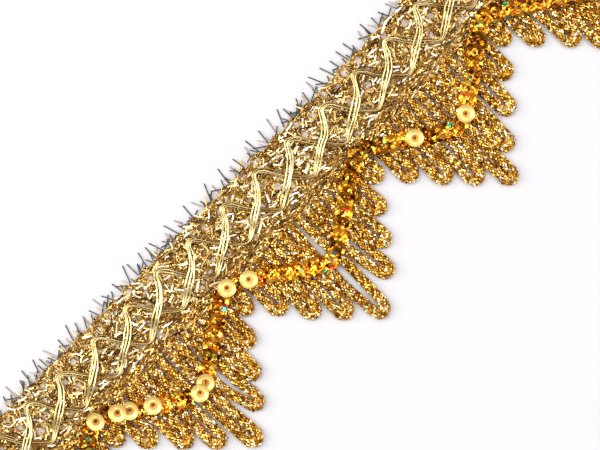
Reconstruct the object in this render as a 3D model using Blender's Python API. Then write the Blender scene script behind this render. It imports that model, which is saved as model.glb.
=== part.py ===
"""Sequin trim: a cut length of gold heading with loops of glitter cord, lying flat.

The trim runs along X. Its tinsel edge points to +Y, its loops hang towards -Y, and it lies on
the plane z = 0. Depths are measured from the heading's top edge down to the loops' tips.
Everything is in metres.
"""

import math
import random

import bmesh
import bpy

# Length: repeats of eight loops, with a short loop at each cut end
REPEATS = 5
LOOPS_PER_REPEAT = 8
LOOP_PITCH = 0.00625
REPEAT = LOOPS_PER_REPEAT * LOOP_PITCH
LAST_LOOP = REPEATS * LOOPS_PER_REPEAT // 2
HALF_LENGTH = (LAST_LOOP + 0.5) * LOOP_PITCH

# Place of the heading's top edge, so that the whole trim is centred on the origin
EDGE_Y = 0.02529

# The trim lies almost straight: towards +X it drifts sideways by this much
DRIFT = 0.0016
DRIFT_START = 0.025
DRIFT_RUN = 0.060

# Gap kept between pieces that touch
SEAT = 0.0003

# Rounds of pushing that settle neighbours side by side
SETTLE_ROUNDS = 80

# Edges sharper than this many degrees stay crisp
CREASE_ANGLE = 50

# Heading: a knitted ground with ribs along its stitches and rows across them
HEADING_TOP = 0.0021
HEADING_ROWS = (0.0033, 0.0082, 0.0118, 0.0154)
HEADING_FOOT = 0.0170
RIBS_PER_LOOP = 2
GROUND_HEIGHT = 0.0011
RIB_HEIGHT = 0.0007
ROW_HEIGHT = 0.0003
HEADING_JITTER = 0.00012

# Row of arches at the top edge, and the stiff tinsel ends in it
ARCH_HEIGHT = 0.0012
EDGE_ROW_HEIGHT = 0.0013
TINSEL_ROOTS = (0.20, 0.66)
TINSEL_SHIFT = 0.08
TINSEL_WIDTH = 0.0005
TINSEL_TIP_WIDTH = 0.0004
TINSEL_TIP_HEIGHT = 0.0004
TINSEL_SHORT = 0.0022
TINSEL_LONG = 0.0043
TINSEL_LEAN = 0.7
TINSEL_GAP = 0.0007

# Glitter cord, flat underneath
CORD_WIDTH = 0.0027
CORD_HEIGHT = 0.0022
CORD_FLAT = 0.0016
CORD_JITTER = 0.00012
TURN_RADIUS = LOOP_PITCH / 4
LOOP_GAP = 0.00015
LOOP_ROOT = HEADING_FOOT + SEAT + CORD_WIDTH / 2 + TURN_RADIUS
LEVEL_STEP = 0.0080
LEAN_POWER = 1.5
SLIT_EASE = 2.5
TIP_ANGLES = (180, 130, 90, 50, 0)
TOP_ANGLES = (235, 305)

# Two zig-zag floats of flat yarn
FLOAT_PERIOD = REPEAT / 2
FLOAT_TOP = 0.0042
FLOAT_FOOT = 0.0154
FLOAT_WIDTH = 0.0018
FLOAT_THICKNESS = 0.0005
FLOAT_LIFT = FLOAT_THICKNESS + SEAT
FLOAT_BASE = GROUND_HEIGHT + RIB_HEIGHT + ROW_HEIGHT + HEADING_JITTER + SEAT

# Row of sequins, each lapping over the next
SEQUIN_RADIUS = 0.0025
SEQUINS_PER_REPEAT = 18
SEQUIN_TOP = 0.0200
SEQUIN_FOOT = 0.0346
SEQUIN_SHARPNESS = 0.96
SEQUIN_PLATE = 0.00035
SEQUIN_STEP = 0.0006
SEQUIN_NUDGE = 0.0001
SEQUIN_JITTER = 0.00025
SEQUIN_BASE = CORD_HEIGHT + CORD_JITTER + SEAT
SEQUIN_OUTLINE = (-1.0, -0.5, 0.0, 0.5, 1.0)
TRAIL_SAMPLES = 4000

SEED = 7

# One repeat of loops from the long corner loop on: how deep each one's tip hangs
LOOP_TIPS = (
    0.0562,
    0.0495,
    0.0432,
    0.0362,
    0.0297,
    0.0362,
    0.0432,
    0.0495,
)

# Loops out of line: number along the trim, how far the tip leans, how far each strand opens
LEANING_LOOPS = {
    -15: (0.0012, 0.0003),
    -11: (-0.0005, 0.0),
    -8: (0.0011, 0.0),
    -7: (0.0022, 0.0005),
    -6: (0.0004, 0.0),
    -5: (-0.0009, 0.0),
    -4: (-0.0012, 0.0),
    -2: (-0.0012, 0.0),
    -1: (-0.0013, 0.0),
    0: (-0.0003, 0.00075),
    1: (0.0022, 0.0002),
    2: (0.0009, 0.0),
    3: (-0.0010, 0.0),
    4: (-0.0014, 0.0),
    7: (-0.0006, 0.0001),
    8: (-0.0004, 0.0),
    9: (-0.0014, 0.0),
    14: (0.0022, 0.0),
    17: (-0.0011, 0.0002),
}

# One period of a float: share of its length, share of its climb, lifted over the other float
FLOAT_STITCH = (
    (0.00, 0.00, 0.0),
    (0.12, 0.12, 0.0),
    (0.22, 0.27, 1.0),
    (0.40, 0.52, 1.0),
    (0.49, 0.74, 0.0),
    (0.56, 1.00, 0.0),
    (0.66, 0.90, 0.0),
    (0.76, 0.55, 0.0),
    (0.88, 0.24, 0.0),
)

# Finishes: base colour, roughness, metallic
PALE_GOLD = ((0.52, 0.37, 0.16, 1.0), 0.38, 0.75)
EDGE_GOLD = ((0.46, 0.33, 0.15, 1.0), 0.40, 0.75)
GLITTER_GOLD = ((0.50, 0.27, 0.05, 1.0), 0.30, 0.85)
FLOAT_GOLD = ((0.80, 0.66, 0.32, 1.0), 0.25, 0.80)
SEQUIN_AMBER = ((0.82, 0.40, 0.04, 1.0), 0.18, 0.90)


def smooth_step(value):
    """Ease from 0 to 1 as value goes from 0 to 1."""
    value = min(max(value, 0.0), 1.0)
    return value * value * (3.0 - 2.0 * value)


def lay(x, depth, height):
    """Point of the lying trim, from its place along it, its depth and its height."""
    drift = DRIFT * smooth_step((x - DRIFT_START) / DRIFT_RUN)
    return (x, EDGE_Y - depth + drift, height)


def settle(places, half_widths, gap):
    """Push neighbours along X apart until each pair keeps the gap."""
    places = list(places)
    for _ in range(SETTLE_ROUNDS):
        for i in range(len(places) - 1):
            need = half_widths[i] + half_widths[i + 1] + gap
            short = need - (places[i + 1] - places[i])
            if short > 0.0:
                places[i] -= short / 2
                places[i + 1] += short / 2
    return places


def make_material(name, finish):
    """Principled material from a colour, a roughness and a metallic value."""
    colour, roughness, metallic = finish
    material = bpy.data.materials.new(name)
    material.use_nodes = True
    shader = material.node_tree.nodes["Principled BSDF"]
    shader.inputs["Base Color"].default_value = colour
    shader.inputs["Roughness"].default_value = roughness
    shader.inputs["Metallic"].default_value = metallic
    material.diffuse_color = colour
    return material


def add_object(name, bm, finish, collection):
    """Turn a finished bmesh into one named object with its own material."""
    bmesh.ops.recalc_face_normals(bm, faces=bm.faces)
    if bm.calc_volume(signed=True) < 0.0:
        bmesh.ops.reverse_faces(bm, faces=bm.faces)
    mesh = bpy.data.meshes.new(name)
    bm.to_mesh(mesh)
    bm.free()
    mesh.materials.append(make_material(name + "_finish", finish))
    mesh.shade_smooth()
    mesh.set_sharp_from_angle(angle=math.radians(CREASE_ANGLE))
    item = bpy.data.objects.new(name, mesh)
    collection.objects.link(item)


def loft(rings):
    """Skin rings with equal numbers of points into one closed solid, and list its faces by ring."""
    bm = bmesh.new()
    rows = [[bm.verts.new(point) for point in ring] for ring in rings]
    count = len(rows[0])
    bands = []
    for near, far in zip(rows, rows[1:]):
        band = []
        for i in range(count):
            j = (i + 1) % count
            band.append(bm.faces.new((near[i], near[j], far[j], far[i])))
        bands.append(band)
    bm.faces.new(reversed(rows[0]))
    bm.faces.new(rows[-1])
    return bm, bands


def sweep(route, sections):
    """Rings of upright sections carried along a route of (x, depth) points."""
    rings = []
    for i, (x, depth) in enumerate(route):
        back = route[max(i - 1, 0)]
        ahead = route[min(i + 1, len(route) - 1)]
        run = ahead[0] - back[0]
        drop = ahead[1] - back[1]
        size = math.hypot(run, drop)
        side_x = -drop / size
        side_depth = run / size
        ring = [lay(x + a * side_x, depth + a * side_depth, up) for a, up in sections[i]]
        rings.append(ring)
    return rings


def heading_height(column, is_row, dice):
    """Height of the knitted ground: high on a rib and on a row, low between them."""
    height = GROUND_HEIGHT + dice.uniform(-HEADING_JITTER, HEADING_JITTER)
    if column % 2:
        height += RIB_HEIGHT
    if is_row:
        height += ROW_HEIGHT
    return height


def make_heading_band(collection):
    """The knitted heading: one slab, ribbed along its stitches and flat underneath."""
    dice = random.Random(SEED)
    columns = 2 * RIBS_PER_LOOP * (2 * LAST_LOOP + 1)
    depths = (HEADING_TOP,) + HEADING_ROWS + (HEADING_FOOT,)
    rings = []
    for column in range(columns + 1):
        x = -HALF_LENGTH + 2 * HALF_LENGTH * column / columns
        ring = [lay(x, d, heading_height(column, d in HEADING_ROWS, dice)) for d in depths]
        ring.append(lay(x, HEADING_FOOT, 0.0))
        ring.append(lay(x, HEADING_TOP, 0.0))
        rings.append(ring)
    bm, _ = loft(rings)
    add_object("heading_band", bm, PALE_GOLD, collection)


def arch_depth(x):
    """Outline of the top edge: round arches, one over each loop."""
    phase = x / LOOP_PITCH - round(x / LOOP_PITCH)
    return ARCH_HEIGHT * (2.0 * abs(phase)) ** 2


def tinsel_tips(roots, dice):
    """How far along X each tinsel end leans over its full length, with none crossing another."""
    wanted = [root + dice.uniform(-TINSEL_LEAN, TINSEL_LEAN) * TINSEL_LONG for root in roots]
    return settle(wanted, [TINSEL_TIP_WIDTH / 2] * len(roots), TINSEL_GAP)


def grow_tinsel(bm, face, root, full_tip, reach):
    """Pull one tinsel end out of a face, resting on the floor along its length."""
    grown = bmesh.ops.extrude_discrete_faces(bm, faces=[face])["faces"][0]
    share = reach / TINSEL_LONG
    tip = root + (full_tip - root) * share
    for vert in grown.verts:
        side = TINSEL_TIP_WIDTH / 2 if vert.co.x > root else -TINSEL_TIP_WIDTH / 2
        up = TINSEL_TIP_HEIGHT if vert.co.z > EDGE_ROW_HEIGHT / 2 else 0.0
        vert.co = lay(tip + side, -reach, up)


def make_edge_row(collection):
    """The heading's top row of arches, a narrow strip with the tinsel ends fused into it."""
    dice = random.Random(SEED + 1)
    foot = HEADING_TOP - SEAT
    places = []
    roots = {}
    for number in range(-LAST_LOOP, LAST_LOOP + 1):
        start = (number - 0.5) * LOOP_PITCH
        places.append(start)
        for share in TINSEL_ROOTS:
            root = start + (share + dice.uniform(-TINSEL_SHIFT, TINSEL_SHIFT)) * LOOP_PITCH
            roots[len(places)] = root
            places.append(root - TINSEL_WIDTH / 2)
            places.append(root + TINSEL_WIDTH / 2)
    places.append(HALF_LENGTH)
    rings = []
    for x in places:
        outer = arch_depth(x)
        top = EDGE_ROW_HEIGHT + dice.uniform(-HEADING_JITTER, HEADING_JITTER)
        rings.append((lay(x, outer, top), lay(x, foot, top), lay(x, foot, 0.0), lay(x, outer, 0.0)))
    bm, bands = loft(rings)
    for (index, root), full_tip in zip(roots.items(), tinsel_tips(roots.values(), dice)):
        outer_face = bands[index][3]
        grow_tinsel(bm, outer_face, root, full_tip, dice.uniform(TINSEL_SHORT, TINSEL_LONG))
    add_object("edge_row", bm, EDGE_GOLD, collection)


def loop_tip(number):
    """Depth of a loop's tip."""
    return LOOP_TIPS[number % LOOPS_PER_REPEAT]


def loop_spread(number, depth):
    """Half the distance between a loop's two strands at a depth: an opened slit is widest halfway."""
    opening = LEANING_LOOPS.get(number, (0.0, 0.0))[1]
    share = (depth - LOOP_ROOT) / (loop_tip(number) - LOOP_ROOT)
    return TURN_RADIUS + opening * smooth_step(SLIT_EASE * share) * smooth_step(SLIT_EASE * (1.0 - share))


def loop_centres(depth):
    """Middle of every loop that reaches a depth, after neighbours have settled side by side."""
    numbers = [n for n in range(-LAST_LOOP, LAST_LOOP + 1) if loop_tip(n) > depth]
    wanted = []
    half_widths = []
    for number in numbers:
        lean = LEANING_LOOPS.get(number, (0.0, 0.0))[0]
        share = max(depth - LOOP_ROOT, 0.0) / (loop_tip(number) - LOOP_ROOT)
        wanted.append(number * LOOP_PITCH + lean * share ** LEAN_POWER)
        half_widths.append(loop_spread(number, depth) + CORD_WIDTH / 2)
    return dict(zip(numbers, settle(wanted, half_widths, LOOP_GAP)))


def turn(centre_x, centre_depth, radius, angles):
    """Points on a turn of the cord, with angles in degrees from +X round towards the tips."""
    points = []
    for degrees in angles:
        angle = math.radians(degrees)
        points.append((centre_x + radius * math.cos(angle), centre_depth + radius * math.sin(angle)))
    return points


def cord_route():
    """Centre line of the serpentine: down one strand, round the tip, up, and over to the next."""
    levels = []
    depth = LOOP_ROOT
    while depth < max(LOOP_TIPS):
        levels.append((depth, loop_centres(depth)))
        depth += LEVEL_STEP
    route = []
    for number in range(-LAST_LOOP, LAST_LOOP + 1):
        spread = loop_spread(number, loop_tip(number))
        turn_depth = loop_tip(number) - CORD_WIDTH / 2 - spread
        tip_x = loop_centres(turn_depth)[number]
        strand = []
        for depth, centres in levels:
            if depth < turn_depth - LEVEL_STEP / 4:
                strand.append((centres[number], depth, loop_spread(number, depth)))
        route += [(x - half, depth) for x, depth, half in strand]
        route += turn(tip_x, turn_depth, spread, TIP_ANGLES)
        route += [(x + half, depth) for x, depth, half in reversed(strand)]
        if number < LAST_LOOP:
            route += turn((number + 0.5) * LOOP_PITCH, LOOP_ROOT, TURN_RADIUS, TOP_ANGLES)
    return route


def make_loop_cord(collection):
    """The glitter cord: one serpentine with a flat underside."""
    dice = random.Random(SEED + 2)
    half = CORD_WIDTH / 2
    flat = CORD_FLAT / 2
    route = cord_route()
    sections = []
    for _ in route:
        top = CORD_HEIGHT + dice.uniform(-CORD_JITTER, CORD_JITTER)
        under = ((-flat, 0.0), (flat, 0.0), (half, top / 2))
        over = ((flat, top), (-flat, top), (-half, top / 2))
        sections.append(under + over)
    bm, _ = loft(sweep(route, sections))
    add_object("loop_cord", bm, GLITTER_GOLD, collection)


def make_float(name, offset, collection):
    """One flat zig-zag float: its rising legs pass over the other float, its falling legs under."""
    half = FLOAT_WIDTH / 2
    start = -REPEATS * REPEAT / 2
    periods = 2 * REPEATS
    route = []
    sections = []
    for period in range(-1, periods + 1):
        for share, climb, lifted in FLOAT_STITCH:
            x = start + (period + share) * FLOAT_PERIOD + offset
            if abs(x) > -start + SEAT:
                continue
            base = FLOAT_BASE + lifted * FLOAT_LIFT
            top = base + FLOAT_THICKNESS
            route.append((x, FLOAT_FOOT + climb * (FLOAT_TOP - FLOAT_FOOT)))
            sections.append(((-half, base), (half, base), (half, top), (-half, top)))
    bm, _ = loft(sweep(route, sections))
    add_object(name, bm, FLOAT_GOLD, collection)


def sequin_depth(x):
    """Depth of the sequin row: a zig-zag with slightly rounded corners, deepest at the long loops."""
    wave = math.asin(SEQUIN_SHARPNESS * math.cos(math.tau * x / REPEAT)) / math.asin(SEQUIN_SHARPNESS)
    return (SEQUIN_TOP + SEQUIN_FOOT) / 2 + wave * (SEQUIN_FOOT - SEQUIN_TOP) / 2


def sequin_places():
    """Middle and unit direction of each sequin, at even steps of length along the zig-zag."""
    end = REPEATS * REPEAT / 2
    trail = []
    length = 0.0
    for i in range(TRAIL_SAMPLES + 1):
        x = -end + 2 * end * i / TRAIL_SAMPLES
        depth = sequin_depth(x)
        if trail:
            length += math.hypot(x - trail[-1][0], depth - trail[-1][1])
        trail.append((x, depth, length))
    count = REPEATS * SEQUINS_PER_REPEAT
    places = []
    at = 0
    for i in range(count + 1):
        while at < TRAIL_SAMPLES - 1 and trail[at + 1][2] < length * i / count:
            at += 1
        run = trail[at + 1][0] - trail[at][0]
        drop = trail[at + 1][1] - trail[at][1]
        size = math.hypot(run, drop)
        places.append((trail[at][0], trail[at][1], run / size, drop / size))
    return places, length / count


def sequin_ring(place, ahead, points, top):
    """Ring across the row: curved on top from (forward, sideways) points, straight underneath."""
    x, depth, run, drop = place
    ring = []
    for forward, side in points:
        forward += ahead
        ring.append((x + forward * run - side * drop, depth + forward * drop + side * run))
    outline = [lay(px, pd, top) for px, pd in ring]
    outline.append(lay(*ring[-1], SEQUIN_BASE))
    outline.append(lay(*ring[0], SEQUIN_BASE))
    return outline


def make_sequin_row(collection):
    """The row of sequins as one solid: a round front edge on each, a step above the next one."""
    dice = random.Random(SEED + 3)
    places, spacing = sequin_places()
    opening = math.acos(spacing / 2 / SEQUIN_RADIUS)
    front = []
    for share in SEQUIN_OUTLINE:
        angle = share * opening
        front.append((SEQUIN_RADIUS * math.cos(angle), SEQUIN_RADIUS * math.sin(angle)))
    middle = []
    for share, (forward, _) in zip(SEQUIN_OUTLINE, front):
        middle.append((forward - spacing / 2, SEQUIN_RADIUS * math.sin(share * math.pi / 2)))
    back = [(-forward, side) for forward, side in front]
    low = SEQUIN_BASE + SEQUIN_PLATE
    rings = [sequin_ring(places[0], 0.0, back, low)]
    for x, depth, run, drop in places:
        sway = dice.uniform(-SEQUIN_JITTER, SEQUIN_JITTER)
        place = (x, depth + sway, run, drop)
        high = low + SEQUIN_STEP + dice.uniform(-SEQUIN_JITTER, SEQUIN_JITTER)
        rings.append(sequin_ring(place, 0.0, middle, (low + high) / 2))
        rings.append(sequin_ring(place, 0.0, front, high))
        if x < places[-1][0]:
            rings.append(sequin_ring(place, SEQUIN_NUDGE, front, low))
    bm, _ = loft(rings)
    add_object("sequin_row", bm, SEQUIN_AMBER, collection)


def main():
    """Clear the scene and build the trim's pieces in one collection."""
    for item in list(bpy.data.objects):
        bpy.data.objects.remove(item, do_unlink=True)
    collection = bpy.data.collections.new("sequin_trim")
    bpy.context.scene.collection.children.link(collection)
    make_heading_band(collection)
    make_edge_row(collection)
    make_loop_cord(collection)
    make_float("float_a", 0.0, collection)
    make_float("float_b", FLOAT_PERIOD / 2, collection)
    make_sequin_row(collection)


main()
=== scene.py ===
"""Sequin trim: the yarns, threads, tinsel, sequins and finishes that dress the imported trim.

The heading is knitted from beaded chain yarn and film threads over a sheer ground, with tinsel
laid through it and stiff tinsel ends along its edge. Two bundles of flat yarn zig-zag over it. One
glitter cord makes the loops below it, and a zig-zag row of cup sequins is sewn over the loops.
Everything is in metres, in the frame's own place: the trim runs along X, its tinsel edge points to
+Y, its loops hang towards -Y, and it lies on z = 0. Depths are measured from the heading's top edge
down.
"""

import math
import random

import bmesh
import bpy
from bpy.props import FloatProperty, FloatVectorProperty, IntProperty, PointerProperty
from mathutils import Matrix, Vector


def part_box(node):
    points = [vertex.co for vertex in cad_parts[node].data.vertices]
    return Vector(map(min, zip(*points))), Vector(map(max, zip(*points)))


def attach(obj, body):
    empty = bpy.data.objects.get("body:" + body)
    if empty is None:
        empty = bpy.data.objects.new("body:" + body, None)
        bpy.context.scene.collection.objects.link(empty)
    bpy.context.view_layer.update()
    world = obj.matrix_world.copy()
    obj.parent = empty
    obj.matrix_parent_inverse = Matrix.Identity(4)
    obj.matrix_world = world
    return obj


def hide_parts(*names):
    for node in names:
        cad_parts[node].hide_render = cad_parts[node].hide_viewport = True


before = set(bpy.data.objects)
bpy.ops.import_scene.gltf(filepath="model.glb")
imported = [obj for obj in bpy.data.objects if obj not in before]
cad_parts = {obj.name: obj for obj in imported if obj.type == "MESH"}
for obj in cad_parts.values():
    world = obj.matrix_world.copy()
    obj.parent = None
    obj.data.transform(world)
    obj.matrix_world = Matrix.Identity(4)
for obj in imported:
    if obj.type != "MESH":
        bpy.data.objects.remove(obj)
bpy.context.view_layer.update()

bl_info = {
    "name": "Sequin Trim",
    "version": (1, 0, 0),
    "blender": (4, 5, 0),
    "location": "View3D > Sidebar > Sequin Trim",
    "description": "Builds the yarns, tinsel, sequins and finishes of a cut length of sequin trim",
    "category": "Object",
}

BODY = "root"
SEED = 7

# Length and pitch, from the frame
REPEATS = 5
LOOPS_PER_REPEAT = 8
LAST_LOOP = REPEATS * LOOPS_PER_REPEAT // 2
LOOPS = range(-LAST_LOOP, LAST_LOOP + 1)
HALF_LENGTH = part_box("heading_band")[1][0]
LOOP_PITCH = HALF_LENGTH / (LAST_LOOP + 0.5)
REPEAT = LOOPS_PER_REPEAT * LOOP_PITCH
SEAT = 0.0003

# Lie of the trim: its top edge, and how far it drifts sideways towards +X
EDGE_Y = 0.02529
DRIFT = 0.0016
DRIFT_START = 0.025
DRIFT_RUN = 0.060

# Heading: its arches, legs and rows of chain yarn, and its ground, creased all over but for its
# cut ends
HEADING_FOOT = 0.0170
ARCH_YARN = 0.00085
CHAIN_TILT = (0.5, 0.35, 0.9)
LEG_REACH = 0.0017
LEG_PAIR = 0.00060
LEG_STEP = 0.0016
LEG_SWAY = 0.00022
LEG_Z = 0.00062
ROW_DEPTHS = (0.0022, 0.0050, 0.0086, 0.0122, 0.0154)
ROW_STEP = 0.0016
ROW_SWAY = 0.00035
ROW_Z = 0.00125
GROUND_TOP = 0.0012
GROUND_FOOT = 0.0190
GROUND_Z = 0.0010
GROUND_THICKNESS = 0.0003
GROUND_RISE = 0.0002
GROUND_CREASE = 0.3
GROUND_WAVE = 0.2
# Highest tone of the ground's painted shade under the threads, from dark to tan
GROUND_PAINTED_SHADE = 0.55
GROUND_INSIDE = 0.49

# Film threads through the heading: they part round small see-through places, and climb a
# little way over the tops of the loops, but not over the sequins
THREAD_LOW = 0.0011
THREAD_HIGH = 0.0021
THREAD_SWAY = (0.0, 0.00018, 0.00012)
THREAD_TWIST = 0.7
THREAD_FLATNESS = 0.6
WEAVE_TOP = 0.0011
WEAVE_STEP = 0.0008
WEAVE_SWAY = 0.0005
WEAVE_CROWD = 1.25
FILLING_FOOT = 0.6 * HEADING_FOOT
FILLING_SLANT = 1.0
FILLING_STEPS = (6, 13)
CLIMB_START = 0.0160
CLIMB_RUN = 0.0016
CLIMB_FOOT = 0.0202
CLIMB_SHARE = 0.25
SEQUIN_CLEARANCE = 0.0022
CORD_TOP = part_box("loop_cord")[1][2]
EYELET_TRIES = 600
EYELET_TOP = 0.0017
EYELET_RADII = (0.0010, 0.0016)
EYELET_GAP = 0.0036
EYELET_MIDDLE = 0.1
RING_POINTS = 9
RING_HEIGHTS = (0.0019, 0.0023)
RING_STRETCH = (0.85, 1.15)

# Stiff tinsel ends in the top edge: the long ones stand where the solids have them
TINSEL_ROOTS = (0.20, 0.66)
TINSEL_SHIFT = 0.08
TINSEL_TIP_WIDTH = 0.0004
TINSEL_SHORT = 0.0022
TINSEL_LONG = 0.0043
TINSEL_LEAN = 0.7
TINSEL_GAP = 0.0007
EDGE_RINGS = 5 * len(LOOPS) + 1
END_WIDTH = 0.0003
END_HEIGHTS = (0.0003, 0.0009)
END_DROP = 0.0004
END_LOWEST = 0.0002
LONG_END_ROOT = 0.0006
LONG_END_TONES = (0.05, 0.10, 0.20, 0.30, 0.50)

SHORT_ENDS = 150
SHORT_END_ROOT = 0.0008
SHORT_END_INSET = 0.002
SHORT_END_REACH = (0.0006, 0.0020)
SHORT_END_LEAN = 1.2
SHORT_END_TONES = (0.05, 0.10, 0.25, 0.60, 0.95)
LYING_ENDS = 46
LYING_END_ROOT = 0.0010
LYING_END_INSET = 0.005
LYING_END_REACH = (0.0002, 0.0016)
LYING_END_RUN = (0.0024, 0.0044)
LYING_END_TONES = (0.02, 0.10)

# Tinsel laid through the heading, silver, black, brown and gold: pieces, shortest, longest,
# width, shade, its direction and how far that spreads, lowest and highest place. The black
# strips are painted shade: tinsel dark as if it lay in shade
TINSEL_KINDS = (
    (500, 0.0012, 0.0032, 0.00044, 0.97, -0.25, 0.42, 0.0019, 0.0024),
    (420, 0.0012, 0.0034, 0.00034, 0.02, 0.00, 0.40, 0.0021, 0.0026),
    (560, 0.0014, 0.0040, 0.00028, 0.22, 0.10, 0.60, 0.0014, 0.0022),
    (760, 0.0012, 0.0032, 0.00030, 0.62, 0.00, 1.20, 0.0016, 0.0024),
)
TINSEL_MARGIN = 0.0003
TINSEL_BEND = 0.35
TINSEL_SLOPE = 0.07
TINSEL_TURN = 0.5
TINSEL_MIX = 0.08
TINSEL_WIDTHS = (0.8, 1.2)

# Glitter cord
CORD_WIDTH = 0.0027
CORD_SWAY = 0.00016
TURN_RADIUS = LOOP_PITCH / 4
LOOP_GAP = 0.00015
LOOP_ROOT = HEADING_FOOT + SEAT + CORD_WIDTH / 2 + TURN_RADIUS
LEVEL_STEP = 0.0040
LEAN_POWER = 1.5
SLIT_EASE = 2.5
SETTLE_ROUNDS = 80
TURN_STEP = 15
STITCH_GROWTH = (0.8, 1.2)

# One repeat of loops from the long corner loop on: how deep each one's tip hangs
LOOP_TIPS = (0.0562, 0.0495, 0.0432, 0.0362, 0.0297, 0.0362, 0.0432, 0.0495)

# Loops out of line: number along the trim, how far the tip leans, how far each strand opens
LEANING_LOOPS = {
    -15: (0.0012, 0.0003),
    -11: (-0.0005, 0.0),
    -8: (0.0011, 0.0),
    -7: (0.0022, 0.0005),
    -6: (0.0004, 0.0),
    -5: (-0.0009, 0.0),
    -4: (-0.0012, 0.0),
    -2: (-0.0012, 0.0),
    -1: (-0.0013, 0.0),
    0: (-0.0003, 0.00075),
    1: (0.0022, 0.0002),
    2: (0.0009, 0.0),
    3: (-0.0010, 0.0),
    4: (-0.0014, 0.0),
    7: (-0.0006, 0.0001),
    8: (-0.0004, 0.0),
    9: (-0.0014, 0.0),
    14: (0.0022, 0.0),
    17: (-0.0011, 0.0002),
}

# Floats of flat yarn
FLOAT_PERIOD = REPEAT / 2
FLOAT_TOP = 0.0042
FLOAT_FOOT = 0.0154
FLOAT_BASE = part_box("float_a")[0][2]
FLOAT_LIFT = 0.0008
FLOAT_SWAY = 0.0005
FLOAT_WANDER = 0.3
FLOAT_MIX = 0.20
FLOATS = (("float_strands_a", "float_a", 0.0), ("float_strands_b", "float_b", 0.5))

# One period of a float: share of its length, share of its climb, lifted over the other float,
# shade, and how far its strands spread. The shade is painted light and shade: light on the rising
# legs, dark on the falling ones where they dip under
FLOAT_STITCH = (
    (0.00, 0.00, 0.0, 0.25, 0.6),
    (0.12, 0.12, 0.0, 0.70, 0.9),
    (0.22, 0.27, 1.0, 0.86, 1.1),
    (0.31, 0.39, 1.0, 0.92, 1.2),
    (0.40, 0.52, 1.0, 0.94, 1.1),
    (0.49, 0.74, 0.0, 0.88, 0.8),
    (0.56, 1.00, 0.0, 0.60, 0.7),
    (0.66, 0.90, 0.0, 0.35, 0.8),
    (0.76, 0.55, 0.0, 0.12, 0.8),
    (0.88, 0.24, 0.0, 0.08, 0.8),
)

# Row of sequins
SEQUINS_PER_REPEAT = 18
SEQUIN_TOP = 0.0200
SEQUIN_FOOT = 0.0346
SEQUIN_SHARPNESS = 0.96
SEQUIN_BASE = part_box("sequin_row")[0][2]
SEQUIN_SIDES = 16
SEQUIN_SEAT = (0.36, 0.02)
SEQUIN_BEND = 0.55
SEQUIN_WALL = (0.78, 0.45)
SEQUIN_LAPS = (0.8, 1.2)
SEQUIN_TILT = 0.12
SEQUIN_WANDER = 0.00025
SEQUIN_GROWTH = 0.02
SEQUIN_TONES = (0.05, 0.25, 0.45, 0.60, 0.80)
TRAIL_SAMPLES = 4000

# Flat pale sequins among the others: their places along the trim, how far they stand up, and
# their share of the lap
PALE_SEQUINS = (-0.0735, -0.0699, -0.0669, -0.0605, -0.0504, -0.0466, -0.0264, -0.0195, 0.0390, 0.0530)
PALE_LIFT = 0.0013
PALE_LAP = 0.5

# Strips with a tone below the first are dark ones; strips and sequins above the others, pale ones
DARK_STRIP_TONE = 0.5
PALE_STRIP_TONE = 0.85
PALE_SEQUIN_TONE = 0.95

# Stage: how the camera is turned and where it aims, and the lights, each with its place to the
# right of the picture's middle and above it, its height, its width and length, and its power
CAMERA_TURN = math.radians(-45.5)
CAMERA_AIM = (0.0007, EDGE_Y - 0.0222, 0.002)
SENSOR_WIDTH = 36.0
FLOOR_SIZE = 3.0
FLOOR_Z = -0.00003
LIGHTS = (
    ("key", -0.75, 0.10, 0.80, (0.50, 1.30), 13.0),
    ("fill", 0.80, -0.20, 0.75, (0.35, 1.10), 6.0),
    ("top", 0.05, 0.55, 1.00, (0.50, 0.35), 3.5),
)


# Node trees


def pick(sockets, key):
    """The socket at a place, or the one in use with a name."""
    if isinstance(key, int):
        return sockets[key]
    return next(socket for socket in sockets if socket.name == key and socket.enabled)


def arithmetic(operation, reflected=False):
    """A Value's method for one of Python's operators."""

    def work(self, other):
        return self.tree.math(operation, *((other, self) if reflected else (self, other)))

    return work


class Value:
    """A node's output, whose arithmetic adds Math nodes to its tree."""

    __add__ = arithmetic("ADD")
    __radd__ = arithmetic("ADD", reflected=True)
    __sub__ = arithmetic("SUBTRACT")
    __rsub__ = arithmetic("SUBTRACT", reflected=True)
    __mul__ = arithmetic("MULTIPLY")
    __rmul__ = arithmetic("MULTIPLY", reflected=True)
    __truediv__ = arithmetic("DIVIDE")

    def __init__(self, tree, socket):
        self.tree = tree
        self.socket = socket

    def other(self, key):
        """Another output of the same node."""
        return Value(self.tree, pick(self.socket.node.outputs, key))


class Tree:
    """A node tree that is filled by one method."""

    def __init__(self, tree):
        self.tree = tree

    def feed(self, socket, value):
        """Link a value, or each of several, to a socket, or set the socket's own number."""
        if isinstance(value, Value):
            self.tree.links.new(value.socket, socket)
        elif isinstance(value, list):
            for item in value:
                self.tree.links.new(item.socket, socket)
        else:
            socket.default_value = value

    def node(self, kind, settings=None, sockets=None, output=0):
        """Add a node, set it up, feed its sockets and give one of its outputs."""
        node = self.tree.nodes.new(kind)
        for name, value in (settings or {}).items():
            if name == "stops":
                set_stops(node.color_ramp, value)
            elif name == "capture":
                node.capture_items.new(*value)
            else:
                setattr(node, name, value)
        for key, value in (sockets or {}).items():
            self.feed(pick(node.inputs, key), value)
        return Value(self, pick(node.outputs, output)) if node.outputs else None

    def math(self, operation, first, second):
        """Math on two numbers."""
        return self.node("ShaderNodeMath", {"operation": operation}, {0: first, 1: second})

    def vector(self, operation, first, second=None, scale=None):
        """Vector Math on one or two vectors."""
        sockets = {0: first}
        if second is not None:
            sockets[1] = second
        if scale is not None:
            sockets["Scale"] = scale
        return self.node("ShaderNodeVectorMath", {"operation": operation}, sockets)

    def combine(self, x, y, z=0.0):
        """A vector from its three numbers."""
        return self.node("ShaderNodeCombineXYZ", {}, {"X": x, "Y": y, "Z": z})


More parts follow.
